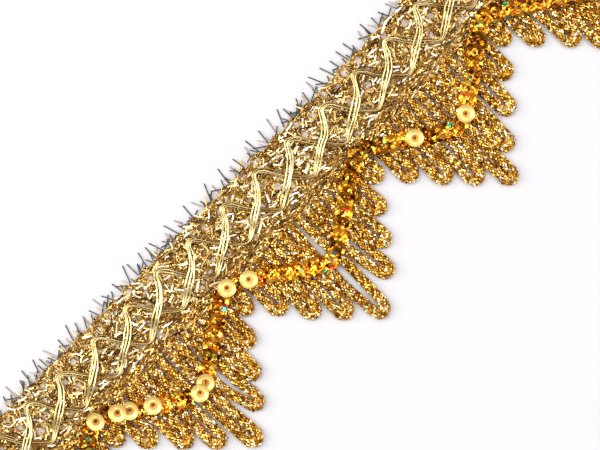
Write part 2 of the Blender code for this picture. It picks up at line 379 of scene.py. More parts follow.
class ShapeTree(Tree):
    """A geometry tree with named inputs."""

    def __init__(self, name):
        super().__init__(bpy.data.node_groups.new(name, "GeometryNodeTree"))
        self.tree.interface.new_socket("Geometry", in_out="OUTPUT", socket_type="NodeSocketGeometry")
        self.tree.interface.new_socket("Geometry", in_out="INPUT", socket_type="NodeSocketGeometry")
        self.entry = self.node("NodeGroupInput")

    def inputs(self, **kinds):
        """Add named inputs of these kinds to the tree and give their values."""
        for name, kind in kinds.items():
            self.tree.interface.new_socket(name, in_out="INPUT", socket_type="NodeSocket" + kind)
        return [self.entry.other(name) for name in kinds]

    def random(self, low, high, seed, kind="FLOAT"):
        """A random number or vector at each place."""
        sockets = {"Min": low, "Max": high, "Seed": seed}
        return self.node("FunctionNodeRandomValue", {"data_type": kind}, sockets, "Value")

    def swing(self, reach, seed):
        """A random vector at each place, up to a reach either way."""
        return self.random(self.vector("SCALE", reach, scale=-1.0), reach, seed, "FLOAT_VECTOR")

    def capture(self, shape, title, kind, value):
        """Hold a value on a shape, to be read later as one of the output's others."""
        settings = {"capture": (kind, title)}
        return self.node("GeometryNodeCaptureAttribute", settings, {"Geometry": shape, title: value})

    def store(self, shape, name, value, kind="FLOAT", domain="POINT"):
        """Keep a value on a shape as a named attribute."""
        sockets = {"Geometry": shape, "Name": name, "Value": value}
        settings = {"data_type": kind, "domain": domain}
        return self.node("GeometryNodeStoreNamedAttribute", settings, sockets)

    def route(self, step):
        """Base polylines as smooth curves with even steps, their normals level with the floor."""
        route = self.node("GeometryNodeMeshToCurve", {}, {"Mesh": self.entry})
        route = self.node("GeometryNodeCurveSplineType", {"spline_type": "CATMULL_ROM"}, {"Curve": route})
        route = self.node("GeometryNodeResampleCurve", {"mode": "LENGTH"}, {"Curve": route, "Length": step})
        return self.node("GeometryNodeSetCurveNormal", {"mode": "Z_UP"}, {"Curve": route})

    def tilt(self, route, angle):
        """Turn a curve's outline round it."""
        return self.node("GeometryNodeSetCurveTilt", {}, {"Curve": route, "Tilt": angle})

    def circle(self, sides, radius=0.5):
        """A round outline."""
        return self.node("GeometryNodeCurvePrimitiveCircle", {}, {"Resolution": sides, "Radius": radius})

    def flatten(self, outline, width, thickness):
        """A round outline as a flat one."""
        sockets = {"Geometry": outline, "Scale": self.combine(width, thickness, 1.0)}
        return self.node("GeometryNodeTransform", {}, sockets)

    def sweep(self, route, outline, closed=True):
        """A body along a route, with its ends closed or not."""
        sockets = {"Curve": route, "Profile Curve": outline, "Fill Caps": closed}
        return self.node("GeometryNodeCurveToMesh", {}, sockets)

    def facing(self, primary, along, secondary, across):
        """A turn that points two axes along two directions."""
        settings = {"primary_axis": primary, "secondary_axis": secondary}
        sockets = {"Primary Axis": along, "Secondary Axis": across}
        return self.node("FunctionNodeAxesToRotation", settings, sockets)

    def copies(self, points, shape, facing, size):
        """A turned and sized instance of a shape on every point."""
        sockets = {"Points": points, "Instance": shape, "Rotation": facing, "Scale": size}
        return self.node("GeometryNodeInstanceOnPoints", {}, sockets)

    def close(self, shape, material, smooth=False):
        """Make the instances real, give the shape its finish and end the tree."""
        real = self.node("GeometryNodeRealizeInstances", {}, {"Geometry": shape})
        shaded = self.node("GeometryNodeSetShadeSmooth", {}, {"Geometry": real, "Shade Smooth": smooth})
        done = self.node("GeometryNodeSetMaterial", {}, {"Geometry": shaded, "Material": material})
        self.node("NodeGroupOutput", {}, {"Geometry": done})
        return self.tree


class FinishTree(Tree):
    """A material's node tree, ending in its Principled shader."""

    def __init__(self, name):
        self.material = bpy.data.materials.new(name)
        self.material.use_nodes = True
        super().__init__(self.material.node_tree)

    def attribute(self, name, output="Fac"):
        """An attribute of the surface."""
        return self.node("ShaderNodeAttribute", {"attribute_name": name}, {}, output)

    def place(self):
        """Where the surface is."""
        return self.node("ShaderNodeTexCoord", {}, {}, "Object")

    def noise(self, place, scale, detail):
        """Soft random shades."""
        sockets = {"Vector": place, "Scale": scale, "Detail": detail}
        return self.node("ShaderNodeTexNoise", {}, sockets, "Fac")

    def ramp(self, stops, number):
        """The colour that a number picks from (place, colour) pairs."""
        return self.node("ShaderNodeValToRGB", {"stops": stops}, {"Fac": number}, "Color")

    def mix(self, share, first, second):
        """A colour between two."""
        sockets = {"Factor": share, "A": first, "B": second}
        return self.node("ShaderNodeMix", {"data_type": "RGBA"}, sockets, "Result")

    def bump(self, strength, distance, height):
        """A normal that a height tilts."""
        sockets = {"Strength": strength, "Distance": distance, "Height": height}
        return self.node("ShaderNodeBump", {}, sockets, "Normal")

    def surface(self, sockets):
        """Feed the Principled shader and give the finished material."""
        shader = self.tree.nodes["Principled BSDF"]
        for key, value in sockets.items():
            self.feed(pick(shader.inputs, key), value)
        return self.material


def set_stops(ramp, stops):
    """Fill a colour ramp from (place, colour) pairs."""
    while len(ramp.elements) < len(stops):
        ramp.elements.new(1.0)
    for element, (place, colour) in zip(ramp.elements, stops):
        element.position = place
        element.color = (*colour, 1.0)


def knitted_yarn_tree():
    """Yarn knitted round a core: leaf stitches in staggered courses along every route."""
    tree = ShapeTree("Knitted yarn")
    width, course, count, stitch, lean, flatness, lift, core_share, seed, material = tree.inputs(
        Width="Float",
        Course="Float",
        Count="Int",
        Stitch="Vector",
        Lean="Vector",
        Flatness="Float",
        Lift="Float",
        Core="Float",
        Seed="Int",
        Material="Material",
    )
    route = tree.route(course)
    held = tree.capture(route, "Run", "VECTOR", tree.node("GeometryNodeInputTangent"))
    number = tree.node("GeometryNodeInputIndex")
    turned = tree.tilt(held, number * math.pi / count)
    places = tree.sweep(turned, tree.circle(count, width / 2), closed=False)

    leaf = tree.node("GeometryNodeMeshUVSphere", {}, {"Segments": 4, "Rings": 2, "Radius": 0.5})
    leaf = tree.node("GeometryNodeTransform", {}, {"Geometry": leaf, "Scale": stitch})
    facing = tree.facing("Z", tree.node("GeometryNodeInputNormal"), "X", held.other("Run"))
    twist = tree.node("FunctionNodeEulerToRotation", {}, {"Euler": tree.swing(lean, seed)})
    facing = tree.node(
        "FunctionNodeRotateRotation",
        {"rotation_space": "LOCAL"},
        {"Rotation": facing, "Rotate By": twist},
    )
    stitches = tree.copies(places, leaf, facing, tree.random(*STITCH_GROWTH, seed + 1))
    stitches = tree.store(stitches, "tone", tree.random(0.0, 1.0, seed + 2), domain="INSTANCE")
    stitches = tree.node("GeometryNodeRealizeInstances", {}, {"Geometry": stitches})

    # The core under the stitches takes tone 0, the darkest colour: painted shade in the gaps between them
    core = tree.sweep(route, tree.circle(count, width * core_share / 2))
    core = tree.store(core, "tone", 0.0)
    both = tree.node("GeometryNodeJoinGeometry", {}, {"Geometry": [stitches, core]})
    place = tree.node("GeometryNodeInputPosition")
    parts = tree.node("ShaderNodeSeparateXYZ", {}, {"Vector": place}, "X")
    height = tree.math("MAXIMUM", parts.other("Z") * flatness + lift, 0.0)
    pressed = tree.combine(parts, parts.other("Y"), height)
    both = tree.node("GeometryNodeSetPosition", {}, {"Geometry": both, "Position": pressed})
    return tree.close(both, material)


def strand_tree():
    """Smooth strands of flat or round yarn along every route, closed at their ends."""
    tree = ShapeTree("Strands")
    width, thickness, step, sides, material = tree.inputs(
        Width="Float",
        Thickness="Float",
        Step="Float",
        Sides="Int",
        Material="Material",
    )
    along = tree.node("GeometryNodeSplineParameter", {}, {}, "Length")
    route = tree.capture(tree.route(step), "Along", "FLOAT", along)
    around = tree.node("GeometryNodeSplineParameter", {}, {}, "Factor")
    outline = tree.capture(tree.circle(sides), "Around", "FLOAT", around)
    body = tree.sweep(route, tree.flatten(outline, width, thickness))
    lengthways = tree.combine(route.other("Along"), outline.other("Around"))
    return tree.close(tree.store(body, "fibre", lengthways, "FLOAT_VECTOR"), material, True)


def film_thread_tree():
    """Thin film thread that sways and twists along every route, with a shade at each step."""
    tree = ShapeTree("Film thread")
    width, thickness, step, sway, twist, seed, material = tree.inputs(
        Width="Float",
        Thickness="Float",
        Step="Float",
        Sway="Vector",
        Twist="Float",
        Seed="Int",
        Material="Material",
    )
    offset = tree.swing(sway, seed)
    route = tree.node("GeometryNodeSetPosition", {}, {"Geometry": tree.route(step), "Offset": offset})
    route = tree.tilt(route, tree.random(-1.0 * twist, twist, seed + 1))
    route = tree.capture(route, "Tone", "FLOAT", tree.random(0.0, 1.0, seed + 2))
    body = tree.sweep(route, tree.flatten(tree.circle(3), width, thickness))
    return tree.close(tree.store(body, "tone", route.other("Tone")), material)


def spread_tree():
    """One small shape on every point of the base, turned, sized and shaded by its attributes."""
    tree = ShapeTree("Spread")
    shape, material = tree.inputs(Shape="Object", Material="Material")
    found = tree.node("GeometryNodeObjectInfo", {}, {"Object": shape}, "Geometry")
    settings = {"data_type": "FLOAT_VECTOR"}
    along, up, size = [
        tree.node("GeometryNodeInputNamedAttribute", settings, {"Name": name}, "Attribute")
        for name in ("along", "up", "size")
    ]
    return tree.close(tree.copies(tree.entry, found, tree.facing("X", along, "Z", up), size), material)


# Objects


def add_mesh(name, mesh):
    """Link a mesh to the scene as an object at the origin."""
    item = bpy.data.objects.new(name, mesh)
    bpy.context.scene.collection.objects.link(item)
    return item


def take_mesh(name, bm):
    """The mesh that was built in bmesh."""
    mesh = bpy.data.meshes.new(name)
    bm.to_mesh(mesh)
    bm.free()
    return mesh


def note(mesh, title, numbers, kind="FLOAT"):
    """Give a mesh's points an attribute, from one flat list of numbers."""
    field = "vector" if kind == "FLOAT_VECTOR" else "value"
    mesh.attributes.new(title, kind, "POINT").data.foreach_set(field, numbers)


def route_base(name, routes, tones=None):
    """Base object with one open polyline for each route of points."""
    points = []
    edges = []
    for route in routes:
        first = len(points)
        points += route
        edges += [(i, i + 1) for i in range(first, len(points) - 1)]
    mesh = bpy.data.meshes.new(name)
    mesh.from_pydata(points, edges, [])
    if tones is not None:
        note(mesh, "tone", tones)
    return add_mesh(name, mesh)


def spread_base(name, marks):
    """Base object with a point for each mark: place, along, up, size and tone."""
    mesh = bpy.data.meshes.new(name)
    mesh.from_pydata([mark[0] for mark in marks], [], [])
    for column, title in enumerate(("along", "up", "size"), 1):
        note(mesh, title, [number for mark in marks for number in mark[column]], "FLOAT_VECTOR")
    note(mesh, "tone", [mark[4] for mark in marks])
    return add_mesh(name, mesh)


def grow(base, tree, values):
    """Run a shape tree over a base object and keep the result as its plain mesh."""
    modifier = base.modifiers.new(tree.name, "NODES")
    modifier.node_group = tree
    for item in tree.interface.items_tree:
        if item.item_type == "SOCKET" and item.name in values:
            modifier[item.identifier] = values[item.name]
    return settle_mesh(base)


def settle_mesh(item):
    """Replace an object's mesh by what its modifiers make of it, and remove them."""
    graph = bpy.context.evaluated_depsgraph_get()
    done = bpy.data.meshes.new_from_object(
        item.evaluated_get(graph),
        preserve_all_data_layers=True,
        depsgraph=graph,
    )
    raw = item.data
    item.modifiers.clear()
    item.data = done
    bpy.data.meshes.remove(raw)
    done.name = item.name
    if not done.polygons:
        raise RuntimeError(item.name + " came out empty")
    return item


def dress(piece, slot, *nodes):
    """Ride a finished piece on the trim, in place of the solids that it stands for."""
    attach(piece, BODY)
    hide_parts(*nodes)


# Lie of the trim


def smooth_step(value):
    """Ease from 0 to 1 as value goes from 0 to 1."""
    value = min(max(value, 0.0), 1.0)
    return value * value * (3.0 - 2.0 * value)


def within(x, reach):
    """A place along the trim, kept within a reach of its middle."""
    return min(max(x, -reach), reach)


def edge_at(x):
    """Where the trim's top edge lies at a place along it."""
    return EDGE_Y + DRIFT * smooth_step((x - DRIFT_START) / DRIFT_RUN)


def lay(x, depth, height):
    """Point of the lying trim, from its place along it, its depth and its height."""
    return (x, edge_at(x) - depth, height)


def settle(places, half_widths, gap):
    """Push neighbours along X apart until each pair keeps the gap."""
    places = list(places)
    for _ in range(SETTLE_ROUNDS):
        for i in range(len(places) - 1):
            need = half_widths[i] + half_widths[i + 1] + gap
            short = need - (places[i + 1] - places[i])
            if short > 0.0:
                places[i] -= short / 2
                places[i + 1] += short / 2
    return places


# Glitter cord


def loop_tip(number):
    """Depth of a loop's tip."""
    return LOOP_TIPS[number % LOOPS_PER_REPEAT]


def loop_spread(number, depth):
    """Half the distance between a loop's two strands at a depth: an opened slit is widest halfway."""
    opening = LEANING_LOOPS.get(number, (0.0, 0.0))[1]
    share = (depth - LOOP_ROOT) / (loop_tip(number) - LOOP_ROOT)
    return TURN_RADIUS + opening * smooth_step(SLIT_EASE * share) * smooth_step(SLIT_EASE * (1.0 - share))


def loop_centres(depth):
    """Middle of every loop that reaches a depth, after neighbours have settled side by side."""
    numbers = [number for number in LOOPS if loop_tip(number) > depth]
    wanted = []
    half_widths = []
    for number in numbers:
        lean = LEANING_LOOPS.get(number, (0.0, 0.0))[0]
        share = max(depth - LOOP_ROOT, 0.0) / (loop_tip(number) - LOOP_ROOT)
        wanted.append(number * LOOP_PITCH + lean * share ** LEAN_POWER)
        half_widths.append(loop_spread(number, depth) + CORD_WIDTH / 2)
    return dict(zip(numbers, settle(wanted, half_widths, LOOP_GAP)))


def turn(centre_x, centre_depth, radius, angles):
    """Points on a turn of the cord, with angles in degrees from +X round towards the tips."""
    points = []
    for degrees in angles:
        angle = math.radians(degrees)
        points.append((centre_x + radius * math.cos(angle), centre_depth + radius * math.sin(angle)))
    return points


def cord_route(first, last, levels):
    """Centre line of some loops: down one strand, round the tip, up, and over to the next."""
    route = []
    for number in range(first, last + 1):
        spread = loop_spread(number, loop_tip(number))
        turn_depth = loop_tip(number) - CORD_WIDTH / 2 - spread
        tip_x = loop_centres(turn_depth)[number]
        strand = []
        for depth, centres in levels:
            if depth < turn_depth - LEVEL_STEP / 4:
                strand.append((centres[number], depth, loop_spread(number, depth)))
        route += [(x - half, depth) for x, depth, half in strand]
        route += turn(tip_x, turn_depth, spread, range(180, -1, -TURN_STEP))
        route += [(x + half, depth) for x, depth, half in reversed(strand)]
        if number < LAST_LOOP:
            over = range(180 + TURN_STEP, 360, TURN_STEP)
            route += turn((number + 0.5) * LOOP_PITCH, LOOP_ROOT, TURN_RADIUS, over)
    dice = random.Random(SEED + first)
    return [lay(x + dice.uniform(-CORD_SWAY, CORD_SWAY), depth, 0.0) for x, depth in route]


# Heading


def over_cord(height, depth):
    """Height of a thread in the heading, lifted on to the cord where it climbs over the loops."""
    climb = smooth_step((depth - CLIMB_START) / CLIMB_RUN)
    return height + climb * (CORD_TOP + CLIMB_SHARE * height - height)


def climb_limit(x):
    """How deep the heading's threads may reach at a place, clear of the sequins."""
    return min(CLIMB_FOOT, sequin_depth(x) - SEQUIN_CLEARANCE)


def heading_eyelets():
    """Small see-through places in the heading: middle, depth and radius of each."""
    dice = random.Random(SEED + 70)
    eyelets = []
    for _ in range(EYELET_TRIES):
        x = dice.uniform(-HALF_LENGTH, HALF_LENGTH)
        depth = dice.uniform(EYELET_TOP, CLIMB_START)
        radius = dice.uniform(*EYELET_RADII)
        if all(math.hypot(x - other[0], depth - other[1]) > EYELET_GAP for other in eyelets):
            eyelets.append((x, depth, radius))
    return eyelets


def eyelet_at(x, depth, eyelets, margin=0.0):
    """The see-through place that holds a place, if one does."""
    for middle, level, radius in eyelets:
        reach = radius + margin
        if abs(x - middle) < reach and math.hypot(x - middle, depth - level) < reach:
            return middle, level, radius
    return None


def part_round(x, depth, eyelets, margin=0.0):
    """Move a place out to the rim of the see-through place that holds it, if one does.

    Gives the place and the direction along the rim there, or no direction for a place that stays.
    A place at the very middle moves only part of the way.
    """
    found = eyelet_at(x, depth, eyelets, margin)
    if found is None:
        return x, depth, None
    middle, level, radius = found
    away = math.hypot(x - middle, depth - level)
    grown = (radius + margin) / max(away, EYELET_MIDDLE * radius)
    across = math.atan2(level - depth, x - middle)
    return middle + (x - middle) * grown, level + (depth - level) * grown, across + math.pi / 2


def tinsel_ends():
    """Root, tip and reach of each long tinsel end, as in the solids."""
    dice = random.Random(SEED + 1)
    roots = []
    for number in LOOPS:
        for share in TINSEL_ROOTS:
            shift = share + dice.uniform(-TINSEL_SHIFT, TINSEL_SHIFT)
            roots.append((number - 0.5 + shift) * LOOP_PITCH)
    for _ in range(EDGE_RINGS):
        dice.random()
    wanted = [root + dice.uniform(-TINSEL_LEAN, TINSEL_LEAN) * TINSEL_LONG for root in roots]
    tips = settle(wanted, [TINSEL_TIP_WIDTH / 2] * len(roots), TINSEL_GAP)
    ends = []
    for root, full_tip in zip(roots, tips):
        reach = dice.uniform(TINSEL_SHORT, TINSEL_LONG)
        ends.append((root, root + (full_tip - root) * reach / TINSEL_LONG, reach))
    return ends


# Sequins


def sequin_depth(x):
    """Depth of the sequin row: a zig-zag with slightly rounded corners, deepest at the long loops."""
    wave = math.asin(SEQUIN_SHARPNESS * math.cos(math.tau * x / REPEAT)) / math.asin(SEQUIN_SHARPNESS)
    return (SEQUIN_TOP + SEQUIN_FOOT) / 2 + wave * (SEQUIN_FOOT - SEQUIN_TOP) / 2


def sequin_places():
    """Middle and unit direction of each sequin, at even steps of length along the zig-zag."""
    end = REPEATS * REPEAT / 2
    trail = []
    length = 0.0
    for i in range(TRAIL_SAMPLES + 1):
        x = -end + 2 * end * i / TRAIL_SAMPLES
        depth = sequin_depth(x)
        if trail:
            length += math.hypot(x - trail[-1][0], depth - trail[-1][1])
        trail.append((x, depth, length))
    count = REPEATS * SEQUINS_PER_REPEAT
    places = []
    at = 0
    for i in range(count + 1):
        while at < TRAIL_SAMPLES - 1 and trail[at + 1][2] < length * i / count:
            at += 1
        run = trail[at + 1][0] - trail[at][0]
        drop = trail[at + 1][1] - trail[at][1]
        size = math.hypot(run, drop)
        places.append((trail[at][0], trail[at][1], run / size, drop / size))
    return places


# Finishes


def tone_finish(name, colours, roughness, metallic, scale, tint=(1.0, 0.86, 0.60), pale_metallic=None):
    """Metallised yarn or film: the tone of each stitch or strip picks its shade from dark to pale.

    The palest strips may be less metallic than the rest, as silvered film that scatters light.
    """
    tree = FinishTree(name)
    tone = tree.attribute("tone")
    place = tree.place()
    mottle = tree.noise(place, scale, 2.0)
    stops = [(i / (len(colours) - 1), colour) for i, colour in enumerate(colours)]
    sockets = {
        "Base Color": tree.ramp(stops, tone + (mottle - 0.5) * 0.25),
        "Normal": tree.bump(0.3, 0.00005, tree.noise(place, 6.0 * scale, 1.0)),
        "Metallic": metallic,
        "Specular Tint": (*tint, 1.0),
        "Roughness": roughness + (mottle - 0.5) * 0.2,
    }
    if pale_metallic is not None:
        pale = tree.math("GREATER_THAN", tone, PALE_STRIP_TONE)
        sockets["Metallic"] = metallic - pale * (metallic - pale_metallic)
    return tree.surface(sockets)


def float_finish(settings):
    """Glossy flat yarn: fine filaments run along each strand; its tone mixes painted shade and painted
    light.
    """
    tree = FinishTree("float_yarn_finish")
    drawn = tree.vector("MULTIPLY", tree.attribute("fibre", "Vector"), (180.0, 9.0, 1.0))
    filament = tree.noise(drawn, 1.0, 3.0)
    share = tree.attribute("tone") + (filament - 0.5) * 0.5
    return tree.surface(
        {
            "Base Color": tree.mix(share, (*settings.shadow, 1.0), (*settings.colour, 1.0)),
            "Normal": tree.bump(0.5, 0.00006, filament),
            "Roughness": 0.28,
            "Metallic": 0.9,
            "Specular Tint": (1.0, 0.88, 0.60, 1.0),
        }
    )


def sequin_finish(settings):
    """Holographic film: small round cells, each tilted and tinted by itself, or plain pale film."""
    tree = FinishTree("sequin_finish")
    tone = tree.attribute("tone")
    place = tree.place()
    cells = tree.node(
        "ShaderNodeTexVoronoi",
        {},
        {"Vector": place, "Scale": 1.0 / settings.cell, "Randomness": 0.8},
        "Color",
    )
    cell_stops = (
        (0.00, settings.dark),
        (0.15, settings.brown),
        (0.34, settings.orange),
        (0.60, settings.amber),
        (0.86, settings.yellow),
        (0.970, (0.10, 0.55, 0.22)),
        (0.980, (0.04, 0.30, 0.32)),
        (0.988, (0.80, 0.06, 0.02)),
    )
    number = tree.node("ShaderNodeSeparateColor", {}, {"Color": cells}, "Red")
    film = tree.ramp(cell_stops, number)
    film.socket.node.color_ramp.interpolation = "CONSTANT"
    film = tree.vector("SCALE", film, scale=0.34 + 0.85 * tone)
    # The ring colour is painted shade on the pale cups, round the seat and at the rim
    pale_stops = (
        (0.00, settings.seat),
        (0.30, settings.seat),
        (0.42, settings.ring),
        (0.54, settings.pale),
        (0.80, settings.pale),
        (1.00, settings.ring),
    )
    plain = tree.math("GREATER_THAN", tone, PALE_SEQUIN_TONE)
    bulge = tree.vector("SUBTRACT", place, cells.other("Position"))
    bulge = tree.vector("SCALE", bulge, scale=settings.bulge / settings.cell)
    lean = tree.vector("SUBTRACT", cells, (0.5, 0.5, 0.5))
    lean = tree.vector("SCALE", lean, scale=settings.lean)
    sway = tree.vector("SCALE", tree.vector("ADD", bulge, lean), scale=1.0 - plain)
    facing = tree.node("ShaderNodeNewGeometry", {}, {}, "Normal")
    return tree.surface(
        {
            "Base Color": tree.mix(plain, film, tree.ramp(pale_stops, tree.attribute("ring"))),
            "Normal": tree.vector("NORMALIZE", tree.vector("ADD", facing, sway)),
            "Roughness": 0.16 + 0.22 * plain,
            "Metallic": 0.92 - 0.25 * plain,
            "Specular Tint": (1.0, 0.78, 0.42, 1.0),
        }
    )


# Settings


def metres(name, description, default):
    """A length that a user may change."""
    return FloatProperty(
        name=name,
        description=description,
        default=default,
        min=0.0,
        unit="LENGTH",
        precision=5,
    )


def degrees(name, description, default):
    """An angle that a user may change."""
    return FloatProperty(
        name=name,
        description=description,
        default=math.radians(default),
        subtype="ANGLE",
    )


def factor(name, description, default):
    """A plain number that a user may change."""
    return FloatProperty(name=name, description=description, default=default, min=0.0)


def whole(name, description, default, least=1):
    """A count that a user may change."""
    return IntProperty(name=name, description=description, default=default, min=least)


def paint(name, description, default):
    """A colour that a user may change."""
    return FloatVectorProperty(
        name=name,
        description=description,
        default=default,
        min=0.0,
        max=1.0,
        size=3,
        subtype="COLOR",
    )


def stitch_sizes(default):
    """Sizes of a knitted yarn's stitch."""
    return FloatVectorProperty(
        name="Stitch size",
        description="Length, width and thickness of one stitch",
        default=default,
        size=3,
        unit="LENGTH",
    )


class CordSettings(bpy.types.PropertyGroup):
    """Sizes and colours of the knitted glitter cord"""

    width: metres("Width", "Width of the cord over its stitches", 0.0028)
    height: metres("Height", "Height of the lying cord", 0.0022)
    course: metres("Course", "Length of cord from one round of stitches to the next", 0.00066)
    stitches: whole("Stitches round", "Stitches in one round", 9, 3)
    stitch_size: stitch_sizes((0.00110, 0.00080, 0.00052))
    tilt: degrees("Tilt", "How far a stitch may lean out of line", 36)
    dark: paint("Dark", "Shade deep between the stitches", (0.24, 0.085, 0.004))
    amber: paint("Amber", "Darker stitches", (0.57, 0.255, 0.024))
    gold: paint("Gold", "Most stitches", (0.88, 0.54, 0.11))
    light: paint("Light", "Palest stitches", (1.0, 0.95, 0.74))


class HeadingSettings(bpy.types.PropertyGroup):
    """Sizes and colours of the knitted heading"""

    yarn: metres("Chain yarn", "Thickness of the beaded chain yarn", ARCH_YARN)
    course: metres("Course", "Length of one chain stitch", 0.00052)
    stitches: whole("Stitches round", "Stitches in one round", 3, 3)
    stitch_size: stitch_sizes((0.00066, 0.00040, 0.0003))
    thread: metres("Film thread", "Width of one film thread", 0.00038)
    thread_step: metres("Thread step", "Length of thread from one bend to the next", 0.00060)
    weave: whole("Weave", "Film threads along the heading", 36)
    filling: whole("Filling", "Film threads across the heading", 330)
    mesh: metres("Ground mesh", "Pitch of the creases in the sheer ground", 0.0006)
    # Painted shade: the mauve grey of the shaded floor, laid on the ground in its see-through places
    ground: paint("Ground", "Colour of the sheer ground where it shows", (0.58, 0.49, 0.44))
    dark: paint("Dark", "Shade deep between the stitches", (0.19, 0.072, 0.006))
    tan: paint("Tan", "Darker stitches", (0.41, 0.21, 0.032))
    gold: paint("Pale gold", "Most stitches", (0.80, 0.54, 0.16))
    light: paint("Light", "Palest stitches", (1.0, 0.89, 0.54))


class TinselSettings(bpy.types.PropertyGroup):
    """Thickness and colours of the tinsel strips"""

    thickness: metres("Thickness", "Thickness of a strip", 0.00012)
    black: paint("Black", "Strips that lie in shade", (0.050, 0.026, 0.011))
    brown: paint("Brown", "Dark gold strips", (0.28, 0.13, 0.03))
    gold: paint("Gold", "Gold strips", (0.86, 0.60, 0.22))
    silver: paint("Silver", "Silver strips", (0.96, 0.91, 0.78))
    grey: paint("Grey", "Stiff ends at the edge", (0.028, 0.025, 0.024))
    rose: paint("Rose", "Palest of the stiff ends", (0.42, 0.31, 0.24))


class FloatSettings(bpy.types.PropertyGroup):
    """Sizes and colours of the flat yarn floats"""

    strands: whole("Strands", "Strands side by side in a float", 3)
    width: metres("Strand width", "Width of one strand", 0.00044)
    thickness: metres("Strand thickness", "Thickness of one strand", 0.00036)
    pitch: metres("Strand pitch", "Distance from one strand to the next", 0.00070)
    step: metres("Strand step", "Length of strand from one ring of its mesh to the next", 0.0008)
    colour: paint("Colour", "Colour of a strand in the light", (0.96, 0.80, 0.38))
    shadow: paint("Shadow", "Colour of a strand that dips under", (0.24, 0.115, 0.02))


class SequinSettings(bpy.types.PropertyGroup):
    """Sizes and colours of the sequins"""

    radius: metres("Radius", "Radius of a sequin", 0.0025)
    hole: metres("Hole", "Radius of its hole", 0.00040)
    cup: metres("Cup", "How far its rim stands up", 0.00050)
    film: metres("Film", "Thickness of the film", 0.00010)
    lap: degrees("Lap", "How far each sequin tips over the next", 8)
    cell: metres("Cell", "Size of one holographic cell", 0.00105)
    bulge: factor("Bulge", "How round each cell looks", 0.35)
    lean: factor("Lean", "How far each cell faces its own way", 0.45)
    dark: paint("Dark", "Darkest cells", (0.17, 0.042, 0.004))
    brown: paint("Brown", "Brown cells", (0.46, 0.14, 0.012))
    orange: paint("Orange", "Orange cells", (0.90, 0.27, 0.012))
    amber: paint("Amber", "Amber cells", (0.93, 0.38, 0.03))
    yellow: paint("Yellow", "Yellow cells", (1.0, 0.62, 0.08))
    pale: paint("Pale", "Plain pale gold sequins", (0.92, 0.685, 0.225))
    seat: paint("Seat", "Film round the hole of a pale sequin", (0.50, 0.20, 0.045))
    ring: paint("Ring", "Pale film in shade, round the seat and at the rim", (0.78, 0.46, 0.10))


class StageSettings(bpy.types.PropertyGroup):
    """Floor, lights and camera"""

    floor: paint("Floor", "Colour of the floor", (0.60, 0.585, 0.60))
    glow: factor("Glow", "Evens out the floor's own light", 0.05)
    sky: factor("Sky", "Light from all round", 0.48)
    lens: FloatProperty(name="Lens", description="Focal length", default=85.0, min=1.0, unit="CAMERA")
    view_width: metres("View width", "Width of the trim's surface in the picture", 0.1613)


class TrimSettings(bpy.types.PropertyGroup):
    """All settings of the trim"""

    cord: PointerProperty(type=CordSettings)
    heading: PointerProperty(type=HeadingSettings)
    tinsel: PointerProperty(type=TinselSettings)
    floats: PointerProperty(type=FloatSettings)
    sequins: PointerProperty(type=SequinSettings)
    stage: PointerProperty(type=StageSettings)


# Operators


class TRIM_OT_cord(bpy.types.Operator):
    """Knit the glitter cord and lay it in its loops, one piece for each repeat"""

    bl_idname = "trim.cord"
    bl_label = "Glitter Cord"

    def execute(self, context):
        settings = context.scene.sequin_trim.cord
        colours = (settings.dark, settings.amber, settings.gold, settings.gold, settings.light)
        tree = knitted_yarn_tree()
        levels = []
        depth = LOOP_ROOT
        while depth < max(LOOP_TIPS):
            levels.append((depth, loop_centres(depth)))
            depth += LEVEL_STEP
        values = {
            "Width": settings.width - settings.stitch_size[2] / 2,
            "Course": settings.course,
            "Count": settings.stitches,
            "Stitch": settings.stitch_size,
            "Lean": (settings.tilt, settings.tilt * 0.6, settings.tilt * 1.4),
            "Flatness": settings.height / settings.width,
            "Lift": settings.height / 2,
            "Core": 0.86,
            "Material": tone_finish("glitter_cord_finish", colours, 0.30, 1.0, 500.0, (1.0, 0.78, 0.45)),
        }
        first = -LAST_LOOP
        for repeat in range(REPEATS):
            last = first + LOOPS_PER_REPEAT - (repeat > 0)
            base = route_base(f"glitter_cord_{repeat + 1}", [cord_route(first, last, levels)])
            values["Seed"] = SEED + repeat
            dress(grow(base, tree, values), "glitter_cord", "loop_cord")
            first = last + 1
        return {"FINISHED"}


